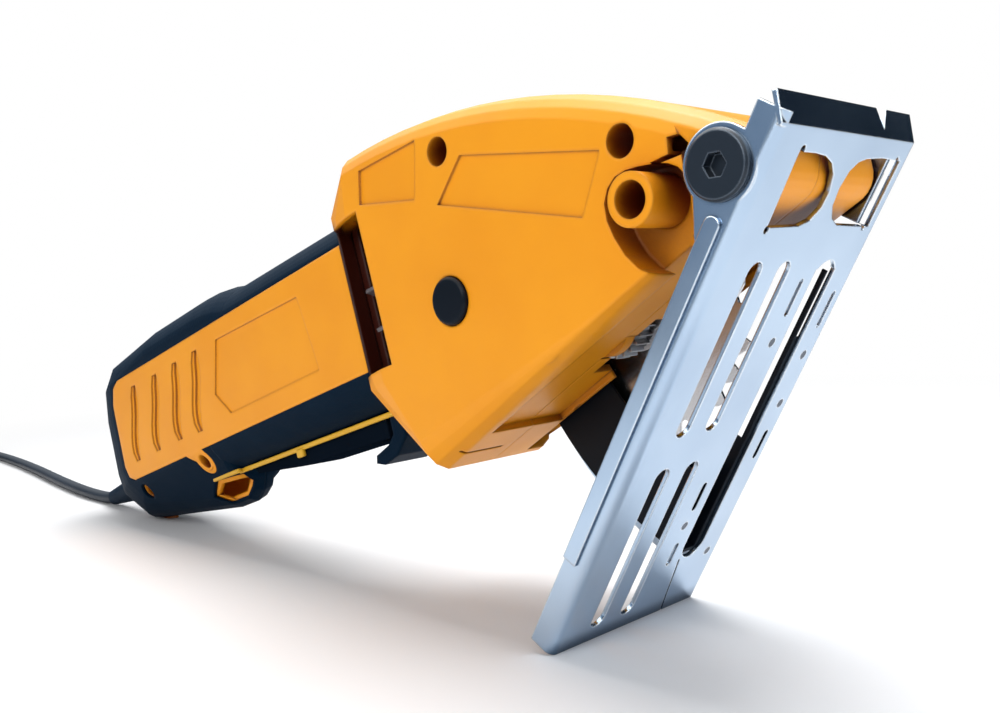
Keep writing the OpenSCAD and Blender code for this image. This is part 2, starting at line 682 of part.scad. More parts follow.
// ---- handle
function low(b, i) = b - (b + 11) * i / 15;
function front_pts(i, w, h0) = [[h0, crown_k - i - w], [277, crown_k + 1 - i - w],
  [heel_x0 + 5, crown_k + 1 - i - w], [heel_x0 + 5, low(-grip_floor_k, i) + w], [h0, low(-grip_floor_k, i) + w]];
function heel_low(b, i) = b - (b + 11) * min(1, i / heel_turn);
function rear_pts(i, w) = let (e = tail_x - 2.8 * i - w) [[270, crown_k + 1 - i - w],
  [279, swell_k - 1.6 - i - w], [288, swell_k - 0.3 - i - w], [300, swell_k + 0.3 - i - w],
  [352, swell_k + 0.4 - i - w], [e - 18, swell_k - 4 - i - w], [e - 4, 41], [e, 25], [e, -5],
  [e - 3, low(-grip_floor_k + 10, i)], [e - 24, low(-grip_floor_k - 6, i) + w],
  [326, heel_low(-grip_floor_k - 14.5, i) + w], [310, heel_low(-grip_floor_k - 14, i) + w],
  [heel_x0 + 4 + w, heel_low(-grip_floor_k - 10, i) + w], [heel_x0 + w, heel_low(-grip_floor_k - 4, i) + w]];
module grip_layers(w) {
  for (s = grip_steps) let (d = s[0] + w * s[2]) {
    h_side(split_y - grip_half + d, split_y - grip_half + d + 0.01, $front ? front_pts(s[1], w, $h0) : rear_pts(s[1], w));
    h_side(split_y + grip_half - d - 0.01, split_y + grip_half - d, $front ? front_pts(s[1], w, $h0) : rear_pts(s[1], w));
  }
}
module grip(w = 0, h0 = handle_x0) {
  hull() grip_layers(w, $front = true, $h0 = h0);
  hull() grip_layers(w, $front = false, $h0 = h0);
}
module panel_window(near) {
  h_side(near ? -5 : 54, near ? 14 : 80, panel);
  boss = handle_posts[0];
  side(near ? -5 : 46, near ? 22 : 80) {
    translate([boss.x, boss.y]) circle(boss_r);
    polygon([[boss.x - 6.2, boss.y + 1], [boss.x - 14, -10], [boss.x + 4, -10], [boss.x + 6.3, boss.y + 1]]);
  }
}
// one louvre: a slit along a gentle S, with a scoop beside it that gets deeper towards it
function s_line(l, t) = [-(l[0] + (l[2] - l[0]) * t) + louvre_bow * sin(360 * t), l[1] + (l[3] - l[1]) * t];
function bulge(t) = max(0.55, sqrt(1 - pow(2 * t - 1, 6)));
function band(l, a, b) = concat([for (i = [0:8]) s_line(l, i / 8) - [a * bulge(i / 8), 0]],
  [for (i = [8:-1:0]) s_line(l, i / 8) + [b * bulge(i / 8), 0]]);
module louvre_cut(l, near) {
  side(near ? 0 : 54, near ? 18 : 80) polygon(band(l, louvre_w / 2, louvre_w / 2));
  for (d = scoop_depths) side(near ? 0 : split_y + grip_half - d[1], near ? split_y - grip_half + d[1] : 80)
    polygon(band(l, louvre_w / 2 + scoop_w * d[0], 0));
}
module trigger_slot() { h_box(176, 296, split_y - 10.8, split_y + 10.8, -60, -12); }
module on_axis(k, r, h0, h1, r2 = undef) {
  translate([-h1, split_y, k]) rotate([0, 90, 0]) cylinder(h = h1 - h0, r1 = is_undef(r2) ? r : r2, r2 = r);
}
module handle_shell(near) {
  yellow() in_handle() difference() {
    union() {
      difference() {
        union() {
          intersection() {
            grip(rubber_t);
            half(near);
          }
          intersection() {
            grip();
            panel_window(near);
          }
        }
        grip(shell_t, 170);
      }
      intersection() {
        union() {
          for (h = [stator_h + 2, stator_h + stack_l - 5]) on_axis(motor_k, 22.2, h, h + 4);
          on_axis(motor_k, 22.2, rear_bearing.x - 1, rear_bearing.y + 1);
          tongue_box(0, 168.5, 182);
          for (p = handle_posts) post(p, 4.8, p.z, 2 * split_y - p.z);
        }
        half(near);
      }
    }
    on_axis(motor_k, stator_r, stator_h - 5, stator_h + stack_l + 2);
    on_axis(motor_k, rear_seat_r, rear_bearing.x - 7, rear_bearing.y + 8);
    h_box(160, 190, 19, 49, -16, 44);
    trigger_slot();
    post([-trigger_pin_at.x, trigger_pin_at.y], trigger_pin_r + seat_gap, 21.4, 46.6);
    on_axis(exit_k, 7.2, 405, tail_x + 10);
    for (p = handle_posts) {
      if (near) post(p, head_r, 5, 24);
      post(p, screw_r + (near ? 0.2 : 0), 20, 47);
    }
    for (l = louvres) louvre_cut(l, near);
    h_side(near ? 0 : split_y + grip_half - label_depth, near ? split_y - grip_half + label_depth : 80, label);
    h_side(near ? 0 : 39, near ? 29 : 80, heel_hollow);
  }
}
module handle_near() { handle_shell(true); }
module handle_far() { handle_shell(false); }
module grip_skin(near) {
  rubber() in_handle() difference() {
    intersection() {
      grip();
      half(near);
    }
    grip(rubber_t - seat_gap, 170);
    panel_window(near);
    trigger_slot();
    h_side(near ? 0 : 39, near ? 29 : 80, heel_rim);
    post([-trigger_pin_at.x, trigger_pin_at.y], trigger_pin_r + gap, 21, 47);
    on_axis(exit_k, 7.4, 405, tail_x + 10);
    if (near) for (p = handle_posts) post(p, head_r + 0.6, 5, 24);
  }
}
module grip_near() { grip_skin(true); }
module grip_far() { grip_skin(false); }
module finger_stop() {
  rubber() in_handle() h_side(split_y - 10.8, split_y + 10.8, [[176, -20], [176, -36], [184, -42.5],
    [193, -44.5], [198, -43], [197, -40], [188, -37.5], [183.5, -34], [183.5, -20]]);
}
module handle_screws() {
  steel() in_handle() {
    for (p = handle_posts) screw(p, 24, 22, screw_r, head_r - 0.3, 2.6);
  }
}

// ---- fixed parts of the motor and the switch
module stator() {
  grey() on_motor() difference() {
    translate([0, 0, stator_h]) cylinder(h = stack_l, r = stator_r);
    translate([0, 0, stator_h - 1]) cylinder(h = stack_l + 2, r = armature_r + air_gap);
    for (a = [0, 180]) rotate(a) translate([12.8, -9, stator_h - 1]) cube([4, 18, stack_l + 2]);
  }
}
module field_coils() {
  copper() on_motor() for (a = [0, 180]) rotate(a) {
    translate([13, -8.5, stator_h - 3]) cube([3.5, 17, stack_l + 6]);
    for (z = [stator_h - 5, stator_h + stack_l + 1]) translate([12.9, -8.2, z]) cube([4.5, 16.4, 4]);
  }
}
module brush_holders() {
  dark() on_motor() {
    difference() {
      translate([0, 0, comm_h.y + 1]) cylinder(h = 2.5, r = 20.4);
      translate([0, 0, comm_h.x]) cylinder(h = 30, r = 10);
    }
    for (a = [0, 180]) rotate(a) difference() {
      translate([9.5, -5, brush_h - 5]) cube([13.5, 10, comm_h.y + 1 - brush_h + 5]);
      translate([8, -3, brush_h - 3]) cube([14, 6, 6]);
    }
  }
}
module carbon_brushes() {
  dark() on_motor() for (a = [0, 180]) rotate(a) translate([comm_r + 0.1, -3, brush_h - 3]) cube([7, 6, 6]);
}
module brush_springs() {
  steel() on_motor() for (a = [0, 180]) rotate(a)
    translate([comm_r + 7.1, 0, brush_h]) rotate([0, 90, 0]) spring(2, 0.3, 6.9, 5);
}
module bearing(r0, r1, w) {
  difference() {
    cylinder(h = w, r = r1);
    translate([0, 0, -1]) cylinder(h = w + 2, r = r0);
    for (z = [-0.01, w - 0.29]) translate([0, 0, z]) difference() {
      cylinder(h = 0.3, r = r1 - 1.2);
      translate([0, 0, -1]) cylinder(h = 3, r = r0 + 1.2);
    }
  }
}
module motor_bearings() {
  steel() on_motor() {
    translate([0, 0, front_bearing.x]) bearing(rotor_r + run, front_seat_r, 5);
    translate([0, 0, rear_bearing.x]) bearing(rotor_r + run, rear_seat_r, 5);
  }
}
module gear_bearings() {
  steel() in_body() {
    across(counter_at, 6) bearing(counter_r + run, counter_seat_r, 5);
    across(counter_at, 48.8) bearing(counter_r + run, counter_seat_r, 3.6);
    across(arbor_at, split_y) bearing(arbor_r + run, arbor_seat_r, 5);
    across(arbor_at, plate_y.x) bearing(arbor_r + run, arbor_seat_r, 5);
  }
}
module idler_pin() {
  steel() in_body() {
    post(idler_at, 3, 40, plate_y.y);
    post(idler_at, 4.5, 39.2, 40);
  }
}
module switch() {
  dark() in_handle() {
    h_box(268, 286, 26, 42, -13.5, -2);
    h_box(286, 292, 29, 39, -10, -4);
  }
}
module trigger_pin() {
  steel() in_handle() post([-trigger_pin_at.x, trigger_pin_at.y], trigger_pin_r, 21.5, 46.5);
}
module trigger_spring() {
  steel() in_handle() across([-trigger_pin_at.x, trigger_pin_at.y], 29.6) spring(2.05, 0.4, 8.8, 7);
}
module lock_spring() { steel() in_body() across(cap_at, 11.2) spring(4.6, 0.5, 4.3, 4); }
module cord_clamp() {
  dark() in_handle() difference() {
    h_box(398, 406, 28, 40, -27, -4);
    on_axis(exit_k, cord_d / 2, 390, 410);
  }
}
module strain_relief() {
  rubber() in_handle() difference() {
    union() {
      on_axis(exit_k, 7.2, 424, tail_x + 1);
      on_axis(exit_k, 7, tail_x + 1, 468, 4.5);
    }
    on_axis(exit_k, cord_d / 2, 420, 470);
  }
}

// ---- turning parts
module shaft_on_motor(r, h0, h1) { on_motor() translate([0, 0, h0]) cylinder(h = h1 - h0, r = r); }
module rotor_shaft() { steel() shaft_on_motor(rotor_r, pinion_h.x, rear_bearing.y + 2); }
module armature() {
  grey() on_motor() difference() {
    translate([0, 0, stator_h]) cylinder(h = stack_l, r = armature_r);
    translate([0, 0, stator_h - 1]) cylinder(h = stack_l + 2, r = rotor_r);
    for (i = [0:11]) rotate(30 * i + 15) translate([armature_r - 1.6, -0.7, stator_h - 1])
      cube([3, 1.4, stack_l + 2]);
  }
}
module windings() {
  copper() on_motor() for (z = [stator_h - 8, stator_h + stack_l]) difference() {
    translate([0, 0, z]) cylinder(h = 8, r = armature_r - 1.4);
    translate([0, 0, z - 1]) cylinder(h = 10, r = rotor_r);
  }
}
module commutator() {
  copper() on_motor() difference() {
    translate([0, 0, comm_h.x]) cylinder(h = comm_h.y - comm_h.x, r = comm_r);
    translate([0, 0, comm_h.x - 1]) cylinder(h = 20, r = rotor_r);
    for (i = [0:11]) rotate(30 * i) translate([comm_r - 0.6, -0.25, comm_h.x - 1]) cube([2, 0.5, 14]);
  }
}
module fan() {
  grey() on_motor() translate([0, 0, fan_h.x]) difference() {
    union() {
      cylinder(h = 2, r = fan_r);
      cylinder(h = fan_h.y - fan_h.x, r = 6);
      for (i = [0:8]) rotate(40 * i) translate([5, -0.75, 0]) rotate([0, 0, 8])
        cube([fan_r - 5.6, 1.5, fan_h.y - fan_h.x]);
    }
    translate([0, 0, -1]) cylinder(h = 20, r = rotor_r);
  }
}
module motor_pinion() {
  steel() on_motor() translate([0, 0, pinion_h.x]) gear(pinion_z, rotor_r, pinion_h.y - pinion_h.x);
}
module countershaft() { steel() in_body() post(counter_at, counter_r, 6.1, 53.2); }
module crown_gear() {
  tooth = PI * gear_m / 4 - backlash;
  steel() in_body() across(counter_at) rotate(crown_turn) difference() {
    union() {
      translate([0, 0, 12]) cylinder(h = 10, r = 6);
      translate([0, 0, 20]) cylinder(h = crown_y - 1.25 - 20, r = crown_pitch + 2);
      for (i = [0:crown_z - 1]) rotate(360 * i / crown_z) translate([crown_pitch - 1.2, 0, crown_y])
        rotate([90, 0, 90]) linear_extrude(2.4) polygon([
          [-tooth - 1.5 * tan(pressure), -1.5], [tooth + 1.5 * tan(pressure), -1.5],
          [tooth - tan(pressure), 1], [tan(pressure) - tooth, 1]]);
    }
    translate([0, 0, 5]) cylinder(h = 30, r = counter_r);
    for (i = [0:5]) rotate(lock_turn - crown_turn + 60 * i) translate([lock_orbit, 0, 19])
      cylinder(h = 5, r = 2.2);
    translate([0, 0, 24.5]) difference() {
      cylinder(h = 9, r = crown_pitch - 2.5);
      cylinder(h = 9, r = 6);
    }
  }
}
module drive_pinion() { steel() in_body() across(counter_at, 40.5) gear(pinion_z, counter_r, 8); }
module idler_gear() {
  steel() in_body() across(idler_at, gear_y) rotate(idler_turn) gear(idler_z, 3 + run, gear_w);
}
module arbor() {
  steel() in_body() difference() {
    post(arbor_at, arbor_r, split_y, blade_y0 - flange_t);
    post(arbor_at, 2.5, 44, 60);
  }
}
module arbor_gear() {
  steel() in_body() across(arbor_at, gear_y) rotate(arbor_turn) gear(idler_z, arbor_r, gear_w);
}
module inner_flange() {
  steel() in_body() difference() {
    union() {
      post(arbor_at, flange_r, blade_y0 - flange_t, blade_y0);
      post(arbor_at, 5, blade_y0, blade_y1);
    }
    post(arbor_at, 2.5, 50, 70);
  }
}
module saw_blade() {
  pitch = 360 / blade_teeth;
  steel() in_body() across(arbor_at, blade_y0) difference() {
    linear_extrude(blade_t) polygon([for (i = [0:blade_teeth - 1]) each [
      blade_r * [cos(pitch * i), sin(pitch * i)],
      (blade_r - 1.2) * [cos(pitch * (i + 0.3)), sin(pitch * (i + 0.3))],
      (blade_r - 4.5) * [cos(pitch * (i + 0.62)), sin(pitch * (i + 0.62))],
      (blade_r - 4.2) * [cos(pitch * (i + 0.82)), sin(pitch * (i + 0.82))]]]);
    translate([0, 0, -1]) cylinder(h = 4, r = 5);
    for (i = [0:3]) rotate(90 * i + 20) translate([blade_r * 0.62, 0, -1]) cylinder(h = 4, r = 3.5);
  }
}
module outer_flange() { steel() in_body() ring(arbor_at, 2.5, flange_r, blade_y1, blade_y1 + flange_t + 0.4); }
module blade_bolt() {
  dark() in_body() difference() {
    union() {
      post(arbor_at, 2.5, 44, blade_y1 + flange_t + 0.4);
      post(arbor_at, 5, blade_y1 + flange_t + 0.4, 65.5);
    }
    across(arbor_at, 63) cylinder(h = 4, r = 2.5, $fn = 6);
  }
}
module trigger() {
  dark() in_handle() difference() {
    h_side(split_y - trigger_half, split_y + trigger_half, [[187, -18], [187, -35], [250, -34],
      [288, -30], [294, -22], [291, -17], [284, -17], [270, -19]]);
    post([-trigger_pin_at.x, trigger_pin_at.y], trigger_pin_r + run, 0, 80);
    h_side(split_y - trigger_half + 2.5, split_y + trigger_half - 2.5, [[190, -10], [190, -31],
      [250, -30.5], [281, -27], [281, -10]]);
    h_box(280, 300, 29, 39, -24.5, -10);
  }
}
module lock_button() {
  dark() in_body() {
    across(cap_at, 0.6) cylinder(h = 0.8, r1 = cap_r - 0.8, r2 = cap_r);
    post(cap_at, cap_r, 1.4, 6.8);
    post(cap_at, lock_pin_r, 6.8, 15.8);
    post(cap_at, lock_pin_r - 1.1, 15.8, 18.8);
  }
}
module depth_knob() {
  dark() in_body() {
    post(knob_at, knob_bolt_r, 64.5, 76);
    difference() {
      post(knob_at, 8, bracket_y + bracket_t + gap, 84);
      for (i = [0:7]) across(knob_at, 70) rotate(45 * i) translate([9.2, 0, 0]) cylinder(h = 20, r = 2);
    }
  }
}

// ---- cord
function to_world(p) = let (
  bx = pivot_x + p.x * cos(plunge) + p.y * sin(plunge),
  bz = pivot_z - p.x * sin(plunge) + p.y * cos(plunge))
  [stand_x + bx * cos(stance) - bz * sin(stance), split_y + stand_y,
  bx * sin(stance) + bz * cos(stance)];
function mix4(a, b, c, d, t) = 0.5 * (2 * b + (c - a) * t + (2 * a - 5 * b + 4 * c - d) * t * t
  + (3 * b - a - 3 * c + d) * t * t * t);
function curve(p, n) = let (m = len(p) - 1) concat([for (i = [0:m - 1]) for (j = [0:n - 1])
  mix4(p[max(i - 1, 0)], p[i], p[i + 1], p[min(i + 2, m)], j / n)], [p[m]]);
lie = cord_d / 2 + 0.15;
coil_pitch = cord_d + 0.1;
coil_r = 43.4;
coil_at = [-596, 28 - coil_r];
// columns and rows of the coil's turns, outermost and lowest first
coil_turns = [[0, 0], [1, 0], [2, 0], [2, 1], [1, 1], [0, 1], [0, 2]];
cord_route = [to_world(from_handle(398, exit_k)), to_world(from_handle(430, exit_k)),
  to_world(from_handle(450, exit_k)), to_world(from_handle(462, exit_k)),
  to_world(from_handle(468, exit_k)), [-248, -5.8, lie], [-283, -4, lie], [-336, 3, lie],
  [-400, 13, lie], [-461, 21, lie], [-519, 26, lie], [coil_at.x, coil_at.y + coil_r, lie]];
module power_cord() {
  pts = curve(cord_route, 5);
  rubber() tube(pts, [for (p = pts) cord_d / 2], 12);
}
module cord_coil() {
  rubber() translate([coil_at.x, coil_at.y, 0]) rotate_extrude($fn = 96)
    for (t = coil_turns) translate([coil_r - coil_pitch * t.x, lie + coil_pitch * t.y])
      circle(coil_pitch / 2 + 0.05, $fn = 24);
}
module plug() {
  at = [coil_at.x, coil_at.y - coil_r - coil_pitch + 0.1, lie];
  dark() {
    translate(at) rotate([0, 90, 0]) cylinder(h = 34, r = cord_d / 2);
    translate([at.x + 26, at.y, 7]) rotate([0, 90, 0]) cylinder(h = 12, r1 = 4.5, r2 = 6.5);
    translate([at.x + 38, at.y - 12, 0.2]) cube([16, 24, 14]);
    for (s = [-1, 1]) translate([at.x + 53, at.y + 6.35 * s - 3.15, 6]) cube([17, 6.3, 1.5]);
  }
}

base_plate();
edge_strip();
blade_guard();
guard_rivets();
pivot_bolt();
pivot_nut();
depth_bracket();
near_cover();
far_cover();
bearing_plate();
cover_screws();
plate_screws();
nose_bush();
plunge_spring();
dust_tube();
handle_near();
handle_far();
grip_near();
grip_far();
handle_screws();
finger_stop();
stator();
field_coils();
brush_holders();
carbon_brushes();
brush_springs();
motor_bearings();
gear_bearings();
idler_pin();
switch();
trigger_pin();
trigger_spring();
lock_spring();
cord_clamp();
strain_relief();
rotor_shaft();
armature();
windings();
commutator();
fan();
motor_pinion();
countershaft();
crown_gear();
drive_pinion();
idler_gear();
arbor();
arbor_gear();
inner_flange();
saw_blade();
outer_flange();
blade_bolt();
trigger();
lock_button();
depth_knob();
power_cord();
cord_coil();
plug();
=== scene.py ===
# %% [markdown]
# # A mini plunge-cut circular saw
#
# The saw stands propped on two places: the rear edge of its pressed steel base plate and the
# tail of its handle. The CAD model gives every piece its shape, its place and its motion. This
# script gives the pieces their looks, and adds what CAD leaves to it: soft edges, the flowing
# cord and fine relief.

import math

import bmesh
import bpy
from mathutils import Matrix, Vector


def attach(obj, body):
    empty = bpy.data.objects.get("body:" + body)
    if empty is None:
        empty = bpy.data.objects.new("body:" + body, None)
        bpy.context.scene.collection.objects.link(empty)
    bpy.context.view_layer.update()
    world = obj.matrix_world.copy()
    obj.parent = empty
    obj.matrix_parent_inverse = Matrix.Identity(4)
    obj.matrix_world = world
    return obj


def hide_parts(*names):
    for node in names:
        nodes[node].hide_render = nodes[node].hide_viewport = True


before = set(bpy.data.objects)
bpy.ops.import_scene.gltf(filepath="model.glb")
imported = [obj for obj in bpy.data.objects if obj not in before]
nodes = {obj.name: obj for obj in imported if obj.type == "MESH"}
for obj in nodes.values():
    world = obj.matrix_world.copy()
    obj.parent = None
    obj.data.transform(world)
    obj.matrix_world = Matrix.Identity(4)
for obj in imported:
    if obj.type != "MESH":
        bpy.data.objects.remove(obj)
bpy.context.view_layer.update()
MM = 0.001

# %% [markdown]
# ## The camera
#
# Seen from low down and close by, the near end of the saw looms. The camera is placed, aimed by
# a heading and a pitch, and then rolled a few degrees.

# %%
CAMERA_AT = Vector((0.3598, -0.2674, 0.1134))
HEADING, PITCH, ROLL = 45.1, -3.5, -3.1  # degrees
LENS, SENSOR = 36.83, 36.0  # millimetres
NEAREST = 0.01  # metres

camera_data = bpy.data.cameras.new("camera")
camera_data.lens, camera_data.sensor_width = LENS, SENSOR
camera_data.clip_start = NEAREST
camera = bpy.data.objects.new("camera", camera_data)
bpy.context.scene.collection.objects.link(camera)
camera.location = CAMERA_AT
aim = (
    Matrix.Rotation(math.radians(HEADING), 4, "Z")
    @ Matrix.Rotation(math.radians(90 + PITCH), 4, "X")
    @ Matrix.Rotation(math.radians(ROLL), 4, "Z")
)
camera.rotation_euler = aim.to_euler()
bpy.context.scene.camera = camera
print("camera", tuple(round(v, 3) for v in camera.location))

# %% [markdown]
# ## The frames of the saw
#
# The saw is easiest to describe in its own frames: the base plate's, with x forward and z up
# from the plate's underside, the body's, with its origin on the pivot, and the handle's, whose
# x axis is the motor's axis. Each is a matrix that carries a point into the shared frame.

# %%
STANCE, PLUNGE, HANDLE_RISE = 60.288, 27.0, 17.6  # degrees
PLATE_AT = (146.46, -40, 0)  # the plate's origin in the shared frame, in millimetres
PIVOT_ON_PLATE = (158, 0, 12)  # the pivot in the plate's frame
SPLIT = 34.0  # across the handle: the plane where its two halves meet


def turned(degrees):
    """A turn about the cross axis."""
    return Matrix.Rotation(math.radians(degrees), 4, "Y")


def moved(place):
    """A shift by a place in millimetres."""
    return Matrix.Translation([v * MM for v in place])


BASE = moved(PLATE_AT) @ turned(-STANCE)
BODY = BASE @ moved(PIVOT_ON_PLATE) @ turned(PLUNGE)
HANDLE = BODY @ turned(HANDLE_RISE)


def in_handle(h, y, k):
    """The place of a point h behind the pivot along the motor's axis, y across and k up."""
    return HANDLE @ Vector((-h * MM, y * MM, k * MM))


print("tail end", tuple(round(v, 4) for v in in_handle(436, SPLIT, 0)))

# %% [markdown]
# ## The cord
#
# The flex leaves the tail through a tapered sleeve, comes down to the floor within a few
# centimetres and runs away to the left. The rest of its length is wound into a neat coil just
# outside the camera's view. A Bezier or NURBS curve with a round bevel is the usual way to draw
# a cord; a poly curve through closely spaced points keeps its length exact.

# %%
FLEX = 6.8 * MM
LIE = FLEX / 2 + 0.15 * MM  # height of the middle of a flex that lies on the floor
PITCH_OF_TURNS = FLEX + 0.1 * MM
COIL_R = 43.4 * MM  # to the middle of the outermost turn
COIL_AT = Vector((-596 * MM, 28 * MM - COIL_R, 0))


def smooth_route(points, per_span):
    """Points on a Catmull-Rom curve through the given points."""
    line = []
    for i in range(len(points) - 1):
        a, b = points[max(i - 1, 0)], points[i]
        c, d = points[i + 1], points[min(i + 2, len(points) - 1)]
        for step in range(per_span):
            t = step / per_span
            line.append(
                0.5
                * (
                    2 * b
                    + (c - a) * t
                    + (2 * a - 5 * b + 4 * c - d) * t * t
                    + (3 * b - a - 3 * c + d) * t * t * t
                )
            )
    return line + [points[-1]]


lead = [in_handle(h, 34, -12) for h in (398, 430, 450, 462, 468)]
floor_run = [
    Vector((x * MM, y * MM, LIE))
    for x, y in ((-248, -5.8), (-283, -4), (-336, 3), (-400, 13), (-461, 21), (-519, 26))
]
start_of_coil = COIL_AT + Vector((0, COIL_R, LIE))
run_out = smooth_route(lead + floor_run + [start_of_coil], per_span=5)
print("run to the coil", len(run_out), "points")

# %% [markdown]
# ## The coil
#
# A neat winding lies in three columns and two layers. Each turn holds one column and one layer
# and then steps over to the next place within a seventh of a turn, so that neighbours touch but
# never cross. The last half turn steps outside the winding and comes down to the floor.

# %%
PLACES = [(0, 0), (1, 0), (2, 0), (2, 1), (1, 1), (0, 1)]  # column and layer
SPACING, MOVE = 0.85, 0.15  # in turns: from one move to the next, and the length of a move
LEAVES, COMES_DOWN, DESCENT = 5.85, 6.0, 0.45  # in turns: the way out of the winding
TURNS, STEPS = 6.5, 48  # turns in all, and points on each


def eased(t):
    """A soft step from 0 to 1."""
    t = min(max(t, 0.0), 1.0)
    return t * t * (3 - 2 * t)


def wound(turn):
    """Column, layer and angle of the winding after so many turns."""
    column, layer = PLACES[0]
    for i in range(1, len(PLACES)):
        step = eased((turn - SPACING * i) / MOVE)
        column += (PLACES[i][0] - PLACES[i - 1][0]) * step
        layer += (PLACES[i][1] - PLACES[i - 1][1]) * step
    column -= eased((turn - LEAVES) / MOVE)
    layer -= eased((turn - COMES_DOWN) / DESCENT)
    return column, layer, math.radians(90 + 360 * turn)


coil = []
for i in range(1, int(TURNS * STEPS) + 1):
    column, layer, angle = wound(i / STEPS)
    radius, height = COIL_R - column * PITCH_OF_TURNS, LIE + layer * PITCH_OF_TURNS
    coil.append(COIL_AT + Vector((radius * math.cos(angle), radius * math.sin(angle), height)))
centreline = run_out + coil
cord_length = sum((b - a).length for a, b in zip(centreline, centreline[1:]))
print("cord length", round(cord_length, 3), "m")

# %% [markdown]
# ## The flex as one curve
#
# The curve's round section has a radius of one metre, and each point scales it down to the
# flex. It stands for both of the CAD model's pieces of cord, the run and the coil.

# %%
curve = bpy.data.curves.new("flex", "CURVE")
curve.dimensions = "3D"
curve.bevel_depth = 1.0
curve.bevel_resolution = 5
curve.use_fill_caps = True
spline = curve.splines.new("POLY")
spline.points.add(len(centreline) - 1)
spline.use_smooth = True
for point, place in zip(spline.points, centreline):
    point.co = (*place, 1.0)
    point.radius = FLEX / 2
flex = bpy.data.objects.new("flex", curve)
bpy.context.scene.collection.objects.link(flex)
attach(flex, "saw_body")
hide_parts("power_cord", "cord_coil")
print("flex", len(centreline), "points, ends at", tuple(round(v, 4) for v in centreline[-1]))

# %% [markdown]
# ## Shader maths as plain sums
#
# A material is a small drawing in maths. A wrapped socket that can be added and multiplied
# keeps that maths readable, and one method adds every other kind of node. The same drawing
# board serves the materials and, later on, the room.


# %%
class Value:
    """A shader socket that can be used in sums like a number."""

    def __init__(self, drawing, socket):
        self.drawing, self.socket = drawing, socket

    def _sum(self, operation, a, b):
        return self.drawing.node("ShaderNodeMath", {"operation": operation}, {0: a, 1: b})

    def __add__(self, other):
        return self._sum("ADD", self, other)

    def __sub__(self, other):
        return self._sum("SUBTRACT", self, other)

    def __mul__(self, other):
        return self._sum("MULTIPLY", self, other)

    def __radd__(self, other):
        return self._sum("ADD", other, self)

    def __rsub__(self, other):
        return self._sum("SUBTRACT", other, self)

    def __rmul__(self, other):
        return self._sum("MULTIPLY", other, self)


# The Mix node has one socket of each name for every kind of data, so its colours go by number.
AMOUNT, FIRST_COLOUR, SECOND_COLOUR, MIXED_COLOUR = 0, 6, 7, 2


class Drawing:
    """A node tree being drawn up."""

    def __init__(self, tree):
        self.tree = tree

    def node(self, kind, settings=None, inputs=None, output=0):
        """Adds a node with its settings and the values or links of its sockets."""
        made = self.tree.nodes.new(kind)
        for name, value in (settings or {}).items():
            setattr(made, name, value)
        for name, value in (inputs or {}).items():
            self.feed(made.inputs[name], value)
        return Value(self, made.outputs[output])

    def feed(self, socket, value):
        """Links a value to a socket, or sets the socket to a plain number or colour."""
        if isinstance(value, Value):
            self.tree.links.new(value.socket, socket)
        else:
            socket.default_value = value

    def blend(self, first, second, amount):
        """One colour fading into another."""
        inputs = {AMOUNT: amount, FIRST_COLOUR: first, SECOND_COLOUR: second}
        return self.node("ShaderNodeMix", {"data_type": "RGBA"}, inputs, MIXED_COLOUR)

    def between(self, value, low, high):
        """0 below low, 1 above high, and a soft step between."""
        return self.node(
            "ShaderNodeMapRange",
            {"interpolation_type": "SMOOTHSTEP"},
            {"Value": value, "From Min": low, "From Max": high},
        )

    def dot(self, first, second):
        """The dot product of two directions."""
        settings = {"operation": "DOT_PRODUCT"}
        return self.node("ShaderNodeVectorMath", settings, {0: first, 1: second}, "Value")


class Finish(Drawing):
    """A material being drawn up, with its shader and the object's own coordinates."""

    def __init__(self, name, **settings):
        self.material = bpy.data.materials.new(name)
        self.material.use_nodes = True
        super().__init__(self.material.node_tree)
        self.shader = self.tree.nodes["Principled BSDF"]
        self.place = self.node("ShaderNodeTexCoord", output="Object")
        for setting, value in settings.items():
            self.set(setting.replace("_", " ").title().replace("Ior", "IOR"), value)

    def set(self, name, value):
        """Sets or links a socket of the shader."""
        self.feed(self.shader.inputs[name], value)

    def noise(self, scale, detail=2.0, stretch=None):
        """Noise over the surface, from 0 to 1, with features 1/scale metres across."""
        place = self.place
        if stretch:
            place = self.node("ShaderNodeMapping", {}, {"Vector": place, "Scale": stretch})
        return self.node(
            "ShaderNodeTexNoise", {}, {"Vector": place, "Scale": scale, "Detail": detail}
        )

    def soft_edges(self, radius, samples):
        """The surface's direction, rounded over near its edges."""
        return self.node("ShaderNodeBevel", {"samples": samples}, {"Radius": radius})

    def openness(self, reach):
        """1 where the surface sees the whole sky, and towards 0 deep in a recess."""
        return self.node("ShaderNodeAmbientOcclusion", {"samples": 6}, {"Distance": reach}, "AO")

    def within(self, frame_of, low, high, fade):
        """1 inside a box of a frame, in millimetres, fading to 0 over a few more outside it."""
        inside = 1.0
        for i in range(3):
            axis = frame_of.col[i].to_3d()
            start = frame_of.translation.dot(axis)
            along = self.dot(self.place, tuple(axis))
            first, last, soft = start + low[i] * MM, start + high[i] * MM, fade[i] * MM
            inside = self.between(along, first - soft, first) * inside
            inside = inside * (1 - self.between(along, last, last + soft))
        return inside

    def edge_mask(self, softened, reach):
        """1 on edges and 0 on flats, where the softened direction leaves the true one."""
        true = self.node("ShaderNodeNewGeometry", output="True Normal")
        return self.between(1 - self.dot(softened, true), 0.0, reach)

    def relief(self, height, distance, softened):
        """Fine relief, over soft edges, on the shader's normal."""
        inputs = {"Height": height, "Distance": distance, "Strength": 1.0, "Normal": softened}
        self.set("Normal", self.node("ShaderNodeBump", {}, inputs, "Normal"))


print("shader helpers ready")

